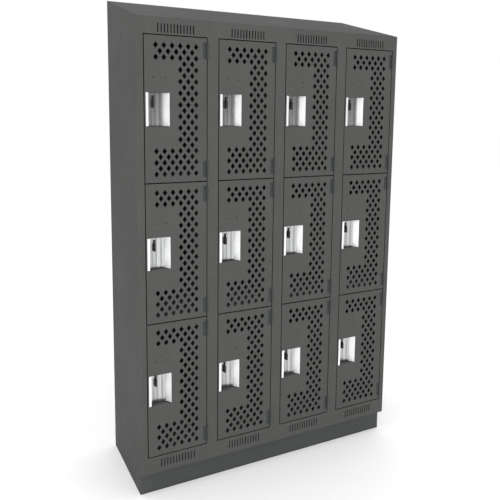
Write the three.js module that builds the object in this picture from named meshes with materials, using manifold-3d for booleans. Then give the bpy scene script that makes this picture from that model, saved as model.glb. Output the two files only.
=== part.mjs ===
// A bank of steel lockers: side-by-side units, three tiers of hinged doors, a toe-kick base and a sloping top.
// Units are millimetres, +Z is up, +X runs along the bank and +Y runs from the doors to the back.
// Everything is drawn in the bank's own corner frame (left side at X 0, door faces at Y 0, floor at Z 0),
// and the group at the end moves that corner so that the origin is under the middle of the bank.
import * as THREE from "three";
import { mergeVertices } from "three/addons/utils/BufferGeometryUtils.js";
import Module from "manifold-3d";

const wasm = await Module();
wasm.setup();

// ---- Overall sizes ----
const UNITS = 4;
const TIERS = 3;
const UNIT_WIDTH = 304.8;
const DEPTH = 457.2;
const BASE_HEIGHT = 101.6;
const BODY_HEIGHT = 1828.8;
const SLOPE_RISE = 114.3;

// ---- Sheet and clearances ----
const BODY_SHEET = 0.8;
const FRAME_SHEET = 1.5;
const BASE_SHEET = 1.5;
const HOOD_SHEET = 1.2;
const FIT = 0.3; // gap left between two sheets that are riveted face to face

// ---- Front frame ----
const STILE_WIDTH = 23;
const TOP_RAIL = 63.5;
const BOTTOM_RAIL = 70.5;
const STOP_LIP = 6; // the strip behind the door's edge that the door closes on
const EDGE_RETURN = 15; // the frame's outer edges fold back this far
const CROSS_RAIL_HEIGHT = 26;
const CROSS_RAIL_RISE = 11; // how far the cross rail stands above the line between two doors
const CROSS_RAIL_SHELF = 18; // the cross rail's top flange, which the shelf rests on
const VENT_COUNT = 12;
const VENT_PITCH = 12.9;
const VENT_WIDTH = 4.8;
const VENT_HEIGHT = 34;
const TOP_VENT_DROP = 40.4; // from the top of the frame to the middle of its vents
const BOTTOM_VENT_RISE = 38.5;

// ---- Doors ----
const DOOR_SIDE_GAP = 2.5;
const DOOR_END_GAP = 3;
const DOOR_SHEET = 1.5;
const DOOR_DEPTH = 20;
const STOP_GAP = 1.5; // from the door's flange back to the stop strip

// ---- Hinges ----
const HINGE_HEIGHT = 63.5;
const HINGE_INSET = 49; // from the door's end to the middle of the hinge
const KNUCKLES = 5;
const KNUCKLE_RADIUS = 3;
const PIN_RADIUS = 1.4;
const PIN_CLEARANCE = 0.45;
const KNUCKLE_CLEARANCE = 0.5;
const KNUCKLE_END_GAP = 0.4;
const AXIS_PROUD = 1.2; // how far the pin's axis stands in front of the doors
const LEAF_WIDTH = 16.5;
const LEAF_RECESS = 0.7;
const KNUCKLE_SIDES = 8;
const PIN_SIDES = 6;

// ---- Recessed handle and latch ----
const CUP_WIDTH = 94.5;
const CUP_HEIGHT = 130;
const CUP_RISE = 2; // from the door's middle up to the cup's middle
const CUP_INSET = 6; // from the door's free edge to the cup
const CUP_DEPTH = 25;
const CUP_CREASE = 3; // the back of the cup is a shallow V, this much deeper in its middle
const CUP_LIP = 10;
const CUP_LEFT_DRAFT = 4.5;
const CUP_RIGHT_DRAFT = 17;
const CUP_SHEET = 1;
const POCKET_SHEET = 1.2;
const SLOT_WIDTH = 10;
const SLOT_FROM_LEFT = 35.5; // from the cup's left edge to the middle of the lift's slot
const SLOT_RISE = 6; // from the cup's middle up to the slot's lower end
const LIFT_TRAVEL = 12;
const LIFT_CLEARANCE = 1;
const TAB_THICKNESS = 5;
const TAB_HEIGHT = 31;
const TAB_REACH = 13;
const TAB_CORNER = 5;
const TAB_CORNER_STEPS = 2;
const PADLOCK_HOLE_RADIUS = 4;
const PADLOCK_HOLE_SIDES = 8;
const PADLOCK_HOLE_RISE = 8;
const SLIDER_WIDTH = 15;
const SLIDER_THICKNESS = 2;
const BOLT_HEIGHT = 12;
const BOLT_OVERLAP = 2.5; // how far the bolt's nose reaches behind the stop strip

// ---- Base, shelves and top ----
const TOE_RECESS = 34;
const BASE_FLANGE = 26;
const SHELF_FLANGE = 12;
const SHELF_FLANGE_START = 45;

// ---- Sizes that follow ----
const BANK_WIDTH = UNITS * UNIT_WIDTH;
const BODY_TOP = BASE_HEIGHT + BODY_HEIGHT;
const OPENING_LOW = BASE_HEIGHT + BOTTOM_RAIL;
const OPENING_HIGH = BODY_TOP - TOP_RAIL;
const OPENING_LEFT = STILE_WIDTH;
const OPENING_RIGHT = UNIT_WIDTH - STILE_WIDTH;
const DOOR_LEFT = OPENING_LEFT + DOOR_SIDE_GAP;
const DOOR_RIGHT = OPENING_RIGHT - DOOR_SIDE_GAP;
const DOOR_HEIGHT = (OPENING_HIGH - OPENING_LOW - (TIERS + 1) * DOOR_END_GAP) / TIERS;
const DOOR_PITCH = DOOR_HEIGHT + DOOR_END_GAP;
const STOP_FRONT = DOOR_DEPTH + STOP_GAP;
const STOP_BACK = STOP_FRONT + FRAME_SHEET;
const PIN_X = (DOOR_RIGHT + OPENING_RIGHT) / 2;
const PIN_Y = -AXIS_PROUD;
const KNUCKLE_PITCH = HINGE_HEIGHT / KNUCKLES;
const CUP_LEFT = DOOR_LEFT + CUP_INSET;
const CUP_RIGHT = CUP_LEFT + CUP_WIDTH;
const CUP_LOW = (DOOR_HEIGHT - CUP_HEIGHT) / 2 + CUP_RISE;
const CUP_HIGH = CUP_LOW + CUP_HEIGHT;
const SLOT_X = CUP_LEFT + SLOT_FROM_LEFT;
const SLOT_LOW = CUP_LOW + CUP_HEIGHT / 2 + SLOT_RISE;
const TAB_LOW = SLOT_LOW + LIFT_CLEARANCE;
const BOLT_LOW = TAB_LOW + (TAB_HEIGHT - BOLT_HEIGHT) / 2;
const SLOT_HEIGHT = TAB_HEIGHT + LIFT_TRAVEL + 2 * LIFT_CLEARANCE;
const SLIDER_FRONT = CUP_DEPTH + CUP_CREASE + CUP_SHEET + 0.8;
const SLIDER_BACK = SLIDER_FRONT + SLIDER_THICKNESS;
const WALL_INSET = BODY_SHEET + FIT; // from a unit's edge to what fits between its walls
const TOP_PANEL_Z = BODY_TOP - FRAME_SHEET - FIT - BODY_SHEET;
const FLOOR_PANEL_Z = BASE_HEIGHT + FRAME_SHEET + FIT;
const BACK_INNER = DEPTH - BODY_SHEET - FIT;
const TIER_NAMES = ["bottom", "middle", "top"];

// ---- Paints and metals ----
const charcoalPaint = new THREE.MeshStandardMaterial({ color: 0x5a5b59, roughness: 0.62, metalness: 0.0 });
const basePaint = new THREE.MeshStandardMaterial({ color: 0x505452, roughness: 0.62, metalness: 0.0 });
const stainless = new THREE.MeshStandardMaterial({ color: 0xd6d7d6, roughness: 0.32, metalness: 1.0 });
const darkZinc = new THREE.MeshStandardMaterial({ color: 0x3d4140, roughness: 0.45, metalness: 0.8 });

// ---- Solids from three.js geometries ----

// A closed three.js geometry as a manifold-3d solid.
function solidOf(geometry) {
  const bare = geometry.clone();
  for (const name of ["normal", "uv"]) bare.deleteAttribute(name);
  const merged = mergeVertices(bare, 1e-4);
  return new wasm.Manifold(
    new wasm.Mesh({
      numProp: 3,
      vertProperties: new Float32Array(merged.attributes.position.array),
      triVerts: new Uint32Array(merged.index.array),
    }),
  );
}

// A solid back as a three.js geometry.
function geometryOf(solid) {
  const mesh = solid.getMesh();
  const geometry = new THREE.BufferGeometry();
  geometry.setAttribute("position", new THREE.BufferAttribute(new Float32Array(mesh.vertProperties), 3));
  geometry.setIndex(new THREE.BufferAttribute(new Uint32Array(mesh.triVerts), 1));
  geometry.computeVertexNormals();
  return geometry;
}

// A box between two corners.
function box(x0, x1, y0, y1, z0, z1) {
  const geometry = new THREE.BoxGeometry(x1 - x0, y1 - y0, z1 - z0);
  return solidOf(geometry.translate((x0 + x1) / 2, (y0 + y1) / 2, (z0 + z1) / 2));
}

// A round bar along Z.
function barZ(x, y, z0, z1, radius, sides) {
  const geometry = new THREE.CylinderGeometry(radius, radius, z1 - z0, sides);
  return solidOf(geometry.rotateX(Math.PI / 2).translate(x, y, (z0 + z1) / 2));
}

// An outline in the XY plane, pulled up from z0 to z1.
function pulledUp(points, z0, z1) {
  const shape = new THREE.Shape(points.map(([x, y]) => new THREE.Vector2(x, y)));
  const geometry = new THREE.ExtrudeGeometry(shape, { depth: z1 - z0, bevelEnabled: false });
  return solidOf(geometry.translate(0, 0, z0));
}

// A shape drawn in the YZ plane, pulled along X from x0 to x1.
function pulledAcross(shape, x0, x1) {
  const geometry = new THREE.ExtrudeGeometry(shape, { depth: x1 - x0, bevelEnabled: false });
  const turn = new THREE.Matrix4().set(0, 0, 1, x0, 1, 0, 0, 0, 0, 1, 0, 0, 0, 0, 0, 1);
  return solidOf(geometry.applyMatrix4(turn));
}

function yzShape(points) {
  return new THREE.Shape(points.map(([y, z]) => new THREE.Vector2(y, z)));
}

// Points along an arc in the YZ plane, angles in degrees from +Y towards +Z.
function arcPoints(y, z, radius, from, to, steps) {
  return [...Array(steps + 1).keys()].map((i) => {
    const angle = THREE.MathUtils.degToRad(from + ((to - from) * i) / steps);
    return [y + radius * Math.cos(angle), z + radius * Math.sin(angle)];
  });
}

function joined(solids) {
  return solids.reduce((whole, piece) => whole.add(piece));
}

function cutBy(solid, cutters) {
  return cutters.reduce((left, cutter) => left.subtract(cutter), solid);
}

const bank = new THREE.Group();

function addNode(name, solid, material, x = 0, z = 0) {
  const mesh = new THREE.Mesh(geometryOf(solid), material);
  mesh.name = name;
  mesh.position.set(x, 0, z);
  bank.add(mesh);
}

// ---- Where things repeat ----
// A unit's own pieces are drawn with X from the unit's left side.
// A door's own pieces are drawn with Z from the door's lower edge as well.
const unitLeft = (unit) => unit * UNIT_WIDTH;
const doorLow = (tier) => OPENING_LOW + DOOR_END_GAP + tier * DOOR_PITCH;
const dividerZ = (tier) => doorLow(tier) - DOOR_END_GAP / 2; // the line under a tier's door
const hingeLows = [HINGE_INSET, DOOR_HEIGHT - HINGE_INSET].map((z) => z - HINGE_HEIGHT / 2);
const eachTier = [...Array(TIERS).keys()];
const eachUnit = [...Array(UNITS).keys()];

// The knuckles of one hinge that belong to the frame (the odd ones) or to the door (the even ones).
function knuckleSpans(hingeLow, onFrame) {
  return [...Array(KNUCKLES).keys()]
    .filter((i) => (i % 2 === 0) === onFrame)
    .map((i) => [hingeLow + i * KNUCKLE_PITCH, hingeLow + (i + 1) * KNUCKLE_PITCH]);
}

// The sheet's edge is cut out square around the knuckles of the other half of the hinge.
function knuckleNotches(hingeLow, onFrame) {
  const reach = KNUCKLE_RADIUS + KNUCKLE_CLEARANCE;
  return knuckleSpans(hingeLow, !onFrame).map(([low, high]) =>
    box(PIN_X - reach, PIN_X + reach, -1, PIN_Y + reach, low, high),
  );
}

// ---- Front frame of one unit: stiles, rails with vents, stop strips, cross rails and hinge pins ----
function ventCutters(middleZ) {
  const first = UNIT_WIDTH / 2 - ((VENT_COUNT - 1) * VENT_PITCH) / 2;
  return [...Array(VENT_COUNT).keys()].map((i) => {
    const x = first + i * VENT_PITCH;
    const half = VENT_WIDTH / 2;
    return box(x - half, x + half, -1, FRAME_SHEET + 1, middleZ - VENT_HEIGHT / 2, middleZ + VENT_HEIGHT / 2);
  });
}

function frameHinge(hingeLow) {
  const knuckles = knuckleSpans(hingeLow, true).map(([low, high]) =>
    barZ(PIN_X, PIN_Y, low + KNUCKLE_END_GAP / 2, high - KNUCKLE_END_GAP / 2, KNUCKLE_RADIUS, KNUCKLE_SIDES),
  );
  const [pinLow, pinHigh] = [hingeLow + KNUCKLE_PITCH / 2, hingeLow + HINGE_HEIGHT - KNUCKLE_PITCH / 2];
  return joined([...knuckles, barZ(PIN_X, PIN_Y, pinLow, pinHigh, PIN_RADIUS, PIN_SIDES)]);
}

// The stop strip holds the bolt while it is down, and this notch lets it out once it is lifted.
function boltNotch(tier) {
  const low = doorLow(tier) + BOLT_LOW + LIFT_TRAVEL - LIFT_CLEARANCE;
  const high = low + BOLT_HEIGHT + 2 * LIFT_CLEARANCE;
  return box(OPENING_LEFT, OPENING_LEFT + STOP_LIP + 1, STOP_FRONT - 1, STOP_BACK + 1, low, high);
}

function crossRail(tier) {
  const top = dividerZ(tier) + CROSS_RAIL_RISE;
  const [left, right] = [OPENING_LEFT - FRAME_SHEET, OPENING_RIGHT + FRAME_SHEET];
  return joined([
    box(left, right, STOP_FRONT, STOP_BACK, top - CROSS_RAIL_HEIGHT, top),
    box(left, right, STOP_FRONT, STOP_BACK + CROSS_RAIL_SHELF, top - FRAME_SHEET, top),
  ]);
}

function frontFrame() {
  const seam = FIT / 2;
  const [left, right] = [WALL_INSET, UNIT_WIDTH - WALL_INSET];
  const face = box(seam, UNIT_WIDTH - seam, 0, FRAME_SHEET, BASE_HEIGHT, BODY_TOP);
  const edges = box(left, right, 0, EDGE_RETURN, BASE_HEIGHT, BODY_TOP).subtract(
    box(left + FRAME_SHEET, right - FRAME_SHEET, -1, EDGE_RETURN + 1, BASE_HEIGHT + FRAME_SHEET,
      BODY_TOP - FRAME_SHEET),
  );
  const jambs = box(OPENING_LEFT - FRAME_SHEET, OPENING_RIGHT + FRAME_SHEET, 0, STOP_BACK,
    OPENING_LOW - FRAME_SHEET, OPENING_HIGH + FRAME_SHEET);
  const doorway = box(OPENING_LEFT, OPENING_RIGHT, -1, STOP_FRONT, OPENING_LOW, OPENING_HIGH);
  const way = box(OPENING_LEFT + STOP_LIP, OPENING_RIGHT - STOP_LIP, -1, STOP_BACK + 1,
    OPENING_LOW + STOP_LIP, OPENING_HIGH - STOP_LIP);
  const vents = [...ventCutters(BODY_TOP - TOP_VENT_DROP), ...ventCutters(BASE_HEIGHT + BOTTOM_VENT_RISE)];
  const shell = cutBy(joined([face, edges, jambs]), [doorway, way, ...vents]);
  const hinges = eachTier.flatMap((tier) => hingeLows.map((low) => doorLow(tier) + low));
  const notches = [...hinges.flatMap((low) => knuckleNotches(low, true)), ...eachTier.map(boltNotch)];
  const sheet = cutBy(joined([shell, ...eachTier.slice(1).map(crossRail)]), notches);
  return joined([sheet, ...hinges.map(frameHinge)]);
}

// ---- Door: a folded pan with a drawn pocket for the handle, hinge leaves let into its face and knuckles ----
function doorKnuckles(hingeLow) {
  return knuckleSpans(hingeLow, false).map(([low, high]) =>
    barZ(PIN_X, PIN_Y, low + KNUCKLE_END_GAP / 2, high - KNUCKLE_END_GAP / 2, KNUCKLE_RADIUS, KNUCKLE_SIDES),
  );
}

function door() {
  const pan = box(DOOR_LEFT, DOOR_RIGHT, 0, DOOR_DEPTH, 0, DOOR_HEIGHT).subtract(
    box(DOOR_LEFT + DOOR_SHEET, DOOR_RIGHT - DOOR_SHEET, DOOR_SHEET, DOOR_DEPTH + 1,
      DOOR_SHEET, DOOR_HEIGHT - DOOR_SHEET),
  );
  const pocketBack = CUP_DEPTH + CUP_CREASE + CUP_SHEET;
  const pocketOutline = [
    [CUP_LEFT, 0],
    [CUP_RIGHT, 0],
    [CUP_RIGHT - CUP_RIGHT_DRAFT, pocketBack],
    [CUP_LEFT + CUP_LIP, pocketBack],
  ];
  const pocket = pulledUp(pocketOutline, CUP_LOW - POCKET_SHEET, CUP_HIGH + POCKET_SHEET);
  const mouth = box(CUP_LEFT, CUP_RIGHT, -1, pocketBack + 1, CUP_LOW, CUP_HIGH);
  const recesses = hingeLows.map((z) =>
    box(DOOR_RIGHT - LEAF_WIDTH, DOOR_RIGHT + 1, -1, LEAF_RECESS, z, z + HINGE_HEIGHT),
  );
  const notches = hingeLows.flatMap((z) => knuckleNotches(z, false));
  const sheet = cutBy(pan.add(pocket), [mouth, ...recesses, ...notches]);
  const bores = hingeLows.map((z) =>
    barZ(PIN_X, PIN_Y, z, z + HINGE_HEIGHT, PIN_RADIUS + PIN_CLEARANCE, PIN_SIDES),
  );
  return cutBy(joined([sheet, ...hingeLows.flatMap(doorKnuckles)]), bores);
}

// ---- Handle cup: one strip of stainless sheet, bent into a lip, a draughted wall, a V back and a wide wall ----
function cupFront() {
  const [left, right] = [CUP_LEFT + FIT, CUP_RIGHT - FIT - CUP_SHEET];
  const backLeft = left + CUP_LIP + CUP_LEFT_DRAFT;
  const backRight = right - CUP_RIGHT_DRAFT;
  return [
    [left, 0],
    [left + CUP_LIP, 0],
    [backLeft, CUP_DEPTH],
    [(backLeft + backRight) / 2, CUP_DEPTH + CUP_CREASE],
    [backRight, CUP_DEPTH],
    [right, 0],
  ];
}

// The same strip's hidden side, one sheet thickness away.
function offsetStrip(points, thickness) {
  const normals = points.slice(1).map(([x, y], i) => {
    const [dx, dy] = [x - points[i][0], y - points[i][1]];
    const length = Math.hypot(dx, dy);
    return [-dy / length, dx / length];
  });
  return points.map(([x, y], i) => {
    const [a, b] = [normals[Math.max(i - 1, 0)], normals[Math.min(i, normals.length - 1)]];
    const scale = thickness / (1 + a[0] * b[0] + a[1] * b[1]);
    return [x + (a[0] + b[0]) * scale, y + (a[1] + b[1]) * scale];
  });
}

function handleCup() {
  const front = cupFront();
  const outline = [...front, ...offsetStrip(front, CUP_SHEET).reverse()];
  const strip = pulledUp(outline, CUP_LOW + FIT, CUP_HIGH - FIT);
  const half = SLOT_WIDTH / 2;
  return strip.subtract(
    box(SLOT_X - half, SLOT_X + half, CUP_DEPTH / 2, SLIDER_BACK, SLOT_LOW, SLOT_LOW + SLOT_HEIGHT),
  );
}

// ---- Latch lift: the finger tab with its padlock eye, the slider behind the cup and the bolt ----
function tabShape() {
  const [front, back] = [SLIDER_FRONT - TAB_REACH - CUP_CREASE, SLIDER_BACK];
  const [low, high] = [TAB_LOW, TAB_LOW + TAB_HEIGHT];
  const shape = yzShape([
    [back, low],
    [back, high],
    ...arcPoints(front + TAB_CORNER, high - TAB_CORNER, TAB_CORNER, 90, 180, TAB_CORNER_STEPS),
    ...arcPoints(front + TAB_CORNER, low + TAB_CORNER, TAB_CORNER, 180, 270, TAB_CORNER_STEPS),
  ]);
  const eye = arcPoints(front + PADLOCK_HOLE_RISE, low + PADLOCK_HOLE_RISE, PADLOCK_HOLE_RADIUS, 360, 0,
    PADLOCK_HOLE_SIDES).slice(1);
  shape.holes.push(new THREE.Path(eye.map(([y, z]) => new THREE.Vector2(y, z))));
  return shape;
}

function latchLift() {
  const tab = pulledAcross(tabShape(), SLOT_X - TAB_THICKNESS / 2, SLOT_X + TAB_THICKNESS / 2);
  const slider = box(SLOT_X - SLIDER_WIDTH / 2, SLOT_X + SLIDER_WIDTH / 2, SLIDER_FRONT, SLIDER_BACK,
    TAB_LOW - SLIDER_WIDTH, TAB_LOW + TAB_HEIGHT + SLIDER_WIDTH);
  const nose = OPENING_LEFT + STOP_LIP - BOLT_OVERLAP;
  const bolt = box(nose, SLOT_X, SLIDER_FRONT, SLIDER_BACK, BOLT_LOW, BOLT_LOW + BOLT_HEIGHT);
  return joined([slider, bolt, tab]);
}

// ---- Sheets of the body ----
function slopeZ(y) {
  return BODY_TOP + (SLOPE_RISE * y) / DEPTH;
}

function endPanel(x0) {
  const front = FRAME_SHEET + FIT;
  const outline = [
    [front, BASE_HEIGHT],
    [DEPTH, BASE_HEIGHT],
    [DEPTH, slopeZ(DEPTH) - HOOD_SHEET],
    [front, slopeZ(front) - HOOD_SHEET],
  ];
  return pulledAcross(yzShape(outline), x0, x0 + BODY_SHEET);
}

function partition(x) {
  const half = BODY_SHEET / 2;
  return box(x - half, x + half, FRAME_SHEET + FIT, BACK_INNER, FLOOR_PANEL_Z + BODY_SHEET + FIT, TOP_PANEL_Z - FIT);
}

// A shelf sheet whose side edges fold down for their rivets, drawn with its underside at Z 0.
function shelf() {
  const [left, right] = [WALL_INSET, UNIT_WIDTH - WALL_INSET];
  const sheet = box(left, right, STOP_BACK + FIT, BACK_INNER, 0, BODY_SHEET);
  const flanges = [left, right - BODY_SHEET].map((x) =>
    box(x, x + BODY_SHEET, SHELF_FLANGE_START, BACK_INNER, -SHELF_FLANGE, BODY_SHEET),
  );
  return joined([sheet, ...flanges]);
}

// A flat panel across the whole bank, with its front edge cut out around the frames' folded edges.
function bankPanel(z) {
  const panel = box(WALL_INSET, BANK_WIDTH - WALL_INSET, FRAME_SHEET + FIT, BACK_INNER, z, z + BODY_SHEET);
  const reach = WALL_INSET + FRAME_SHEET + FIT;
  const notches = [...eachUnit, UNITS].map((unit) =>
    box(unitLeft(unit) - reach, unitLeft(unit) + reach, 0, EDGE_RETURN + FIT, z - 1, z + BODY_SHEET + 1),
  );
  return cutBy(panel, notches);
}

// The sloping sheet is ground to an edge along the front and folds down at the back.
function slopedHood() {
  const outline = [
    [0, slopeZ(0) + FIT],
    [DEPTH, slopeZ(DEPTH) + FIT],
    [DEPTH, slopeZ(DEPTH) + FIT - HOOD_SHEET],
    [(HOOD_SHEET * DEPTH) / SLOPE_RISE, BODY_TOP + FIT],
  ];
  const sheet = pulledAcross(yzShape(outline), 0, BANK_WIDTH);
  const rear = box(WALL_INSET, BANK_WIDTH - WALL_INSET, DEPTH - BODY_SHEET, DEPTH,
    BODY_TOP + FIT, slopeZ(DEPTH) - HOOD_SHEET / 2);
  return sheet.add(rear);
}

// ---- Base: a toe kick across the front and an end piece under each side, both folded channels ----
function toeKick() {
  const [front, flangeBack] = [TOE_RECESS, TOE_RECESS + BASE_FLANGE];
  const top = BASE_HEIGHT - FIT;
  return joined([
    box(0, BANK_WIDTH, front, front + BASE_SHEET, 0, top),
    box(0, BANK_WIDTH, front, flangeBack, 0, BASE_SHEET),
    box(0, BANK_WIDTH, front, flangeBack, top - BASE_SHEET, top),
  ]);
}

function baseEnd(outerX, inward) {
  const top = BASE_HEIGHT - FIT;
  const plateFront = TOE_RECESS + BASE_SHEET + FIT;
  const flangeFront = TOE_RECESS + BASE_FLANGE + FIT;
  const span = (width) => [Math.min(outerX, outerX + inward * width), Math.max(outerX, outerX + inward * width)];
  return joined([
    box(...span(BASE_SHEET), plateFront, DEPTH, BASE_SHEET + FIT, top - BASE_SHEET - FIT),
    box(...span(BASE_FLANGE), flangeFront, DEPTH, 0, BASE_SHEET + 2 * FIT),
    box(...span(BASE_FLANGE), flangeFront, DEPTH, top - BASE_SHEET - 2 * FIT, top),
  ]);
}

// ---- The bank ----
const frameSolid = frontFrame();
const doorSolid = door();
const cupSolid = handleCup();
const liftSolid = latchLift();
const shelfSolid = shelf();
for (const unit of eachUnit) {
  const x = unitLeft(unit);
  const number = unit + 1;
  addNode(`front_frame_${number}`, frameSolid, charcoalPaint, x);
  for (const tier of eachTier) {
    const place = `${number}_${TIER_NAMES[tier]}`;
    const z = doorLow(tier);
    const shelfZ = dividerZ(tier) + CROSS_RAIL_RISE + FIT;
    addNode(`door_${place}`, doorSolid, charcoalPaint, x, z);
    addNode(`handle_cup_${place}`, cupSolid, stainless, x, z);
    addNode(`latch_lift_${place}`, liftSolid, darkZinc, x, z);
    if (tier > 0) addNode(`shelf_${place}`, shelfSolid, charcoalPaint, x, shelfZ);
  }
  if (unit > 0) addNode(`partition_${unit}`, partition(x), charcoalPaint);
}

addNode("end_panel_left", endPanel(0), charcoalPaint);
addNode("end_panel_right", endPanel(BANK_WIDTH - BODY_SHEET), charcoalPaint);
addNode(
  "back_panel",
  box(WALL_INSET, BANK_WIDTH - WALL_INSET, DEPTH - BODY_SHEET, DEPTH, BASE_HEIGHT, BODY_TOP),
  charcoalPaint,
);
addNode("floor_panel", bankPanel(FLOOR_PANEL_Z), charcoalPaint);
addNode("top_panel", bankPanel(TOP_PANEL_Z), charcoalPaint);
addNode("sloped_hood", slopedHood(), charcoalPaint);
addNode("base_toe_kick", toeKick(), basePaint);
addNode("base_end_left", baseEnd(0, 1), basePaint);
addNode("base_end_right", baseEnd(BANK_WIDTH, -1), basePaint);

// The origin is on the floor, under the middle of the bank's outer box.
const knuckleFront = PIN_Y - KNUCKLE_RADIUS;
bank.position.set(-BANK_WIDTH / 2, -(DEPTH + knuckleFront) / 2, 0);

export default bank;
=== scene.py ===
"""A bank of steel lockers: painted frames, perforated doors, stainless cups, hinges and hooks."""

import math

import bmesh
import bpy
from mathutils import Matrix, Vector


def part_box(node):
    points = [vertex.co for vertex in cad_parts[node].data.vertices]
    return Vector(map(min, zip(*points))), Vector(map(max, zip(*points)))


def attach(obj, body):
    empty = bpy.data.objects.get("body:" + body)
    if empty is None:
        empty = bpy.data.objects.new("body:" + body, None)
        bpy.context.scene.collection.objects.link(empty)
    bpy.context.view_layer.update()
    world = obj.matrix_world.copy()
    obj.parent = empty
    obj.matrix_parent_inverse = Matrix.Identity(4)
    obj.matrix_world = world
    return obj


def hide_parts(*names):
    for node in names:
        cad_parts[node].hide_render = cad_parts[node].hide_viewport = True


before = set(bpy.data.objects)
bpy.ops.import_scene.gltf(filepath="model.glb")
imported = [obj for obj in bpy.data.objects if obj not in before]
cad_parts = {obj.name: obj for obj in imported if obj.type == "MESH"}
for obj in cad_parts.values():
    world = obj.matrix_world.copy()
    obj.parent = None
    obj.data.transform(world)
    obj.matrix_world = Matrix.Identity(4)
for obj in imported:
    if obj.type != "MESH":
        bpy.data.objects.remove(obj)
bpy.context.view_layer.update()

MM = 0.001
UNITS = 4
TIERS = ("bottom", "middle", "top")

# ---- Sizes of the door, in millimetres from its free lower front corner ----
DOOR_SHEET = 1.5
DOOR_DEPTH = 20.0
DOOR_BEND, DOOR_BEND_TURNS = 2.2, (0, 22.5, 45, 67.5, 90)
LATCH_EDGE_EASE, TOP_EDGE_EASE = 1.2, 0.6
MOUTH_RADIUS = 1.6
POCKET_DEPTH = 29.0

# ---- Handle cup ----
CUP_LEFT, CUP_WIDTH = 6.0, 94.5
CUP_HEIGHT = 130.0
CUP_RISE = 2.0
CUP_DEPTH, CUP_CREASE, CUP_SHEET = 25.0, 3.2, 1.0
CREASE_X = 51.5
CUP_LIP, CUP_LEFT_DRAFT, CUP_RIGHT_DRAFT = 10.0, 4.5, 17.0
CUP_SIDE_GAP, CUP_FOOT_GAP, CUP_HEAD_GAP = 0.3, 1.6, 1.2
LIP_BEND, BACK_LEFT_BEND, CREASE_BEND, BACK_RIGHT_BEND = 2.6, 2.4, 0.8, 2.6
CUP_BEND_STEPS = 4
SLOT_FROM_LEFT, SLOT_WIDTH, SLOT_RISE, SLOT_HEIGHT = 35.5, 11.0, 6.0, 47.0
SLOT_END = 3.0

# ---- Perforations ----
DIAMOND_HALF_WIDTH, DIAMOND_HALF_HEIGHT, DIAMOND_CORNER = 9.8, 13.0, 1.2
ROW_PITCH, COLUMN_PITCH = 22.3, 32.4
FIRST_ROW_DROP = 36.9
LAST_COLUMN_INSET = 45.5
ROW_COUNTS = (6, 5, 6) + (2, 3) * 7 + (2,) + (6, 5, 6, 5, 6)
LONG_ROWS = (3, 6)

# ---- Hinges ----
HINGE_HEIGHT, HINGE_INSET, KNUCKLES = 63.5, 49.0, 5
KNUCKLE_RADIUS, KNUCKLE_SIDES = 3.05, 24
KNUCKLE_GAP, KNUCKLE_CHAMFER = 0.4, 0.35
PACKED_KNUCKLE_RADIUS = 3.0
PIN_OUT, PIN_PROUD = 1.25, 1.2
PIN_TIP_DROP, PIN_TIP_SIDES = 0.3, 16
PIN_TIP = ((1.9, 0.0), (1.9, 0.5), (1.2, 1.0))
LEAF_WIDTH, LEAF_RECESS, LEAF_PROUD = 16.5, 0.7, 0.2
LEAF_END, LEAF_FLOOR_GAP, LEAF_EASE = 3.0, 0.02, 0.18
LEAF_ROOM, LEAF_WINDOW_END = 0.6, 0.05
STRAP_START, STRAP_END = 3.4, 0.4
FRAME_STRAP_X, FRAME_STRAP_Y = (0.3, 4.2), (-0.35, 0.2)
LEAF_RIVET_X, LEAF_RIVET_INSET = 5.5, 12.0

# ---- Rivets: radius and height, and the dome as fractions of them ----
LEAF_RIVET, PLATE_RIVET = (2.2, 0.7), (3.0, 0.8)
PANEL_RIVET, SEAM_RIVET = (3.6, 0.6), (3.2, 0.9)
RIVET_ROOT, RIVET_SIDES = 0.3, 14
RIVET_DOME = ((1.0, 0.25), (0.8, 0.75), (0.35, 1.0))
PLATE_RIVET_X, PLATE_RIVET_RISE = (37.0, 85.0), 56.0

# ---- Lap seams of the back ----
SEAM_HALF_WIDTH, SEAM_SUNK, SEAM_PROUD, SEAM_EASE = 9.0, 0.1, 0.8, 0.3
SEAM_END_GAP, SEAM_RIVET_INSET, SEAM_RIVETS = 2.0, 60.0, 9

# ---- Coat hooks ----
HOOK_STRAP_X, HOOK_STRAP_Y, HOOK_STRAP_Z = (0.0, 1.6), (-6.0, 6.0), (-14.0, 14.0)
HOOK_STRAP_EASE = 0.4
HOOK_RADIUS, HOOK_SIDES = 2.2, 12
HOOK_PATH = ((1.0, 4.0), (9.0, -3.0), (18.0, -5.0), (26.0, 0.0), (30.0, 9.0))
HOOK_FROM_WALL_LINE, HOOK_BACK = 0.9, 229
HOOK_HEIGHTS = (0.674, 1.236, 1.875)

# ---- Angles in degrees: above these an edge stays sharp, or a sheared edge is eased ----
SMALL_PARTS_ANGLE, CUP_ANGLE, HOOK_ANGLE = 40, 30, 50
SHEARED_ANGLE = 50

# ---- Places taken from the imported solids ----
hood_low, hood_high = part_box("sloped_hood")
FACE_Y = hood_low.y
BANK_LEFT, BANK_RIGHT = hood_low.x, hood_high.x
UNIT_WIDTH = (BANK_RIGHT - BANK_LEFT) / UNITS
door_low, door_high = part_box("door_1_top")
DOOR_WIDTH = (door_high.x - door_low.x) / MM - PIN_OUT - PACKED_KNUCKLE_RADIUS
DOOR_HEIGHT = (door_high.z - door_low.z) / MM
CUP_LOW = (DOOR_HEIGHT - CUP_HEIGHT) / 2 + CUP_RISE
CUP_HIGH = CUP_LOW + CUP_HEIGHT
CUP_RIGHT = CUP_LEFT + CUP_WIDTH
HINGE_LOWS = (HINGE_INSET - HINGE_HEIGHT / 2, DOOR_HEIGHT - HINGE_INSET - HINGE_HEIGHT / 2)

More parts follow.
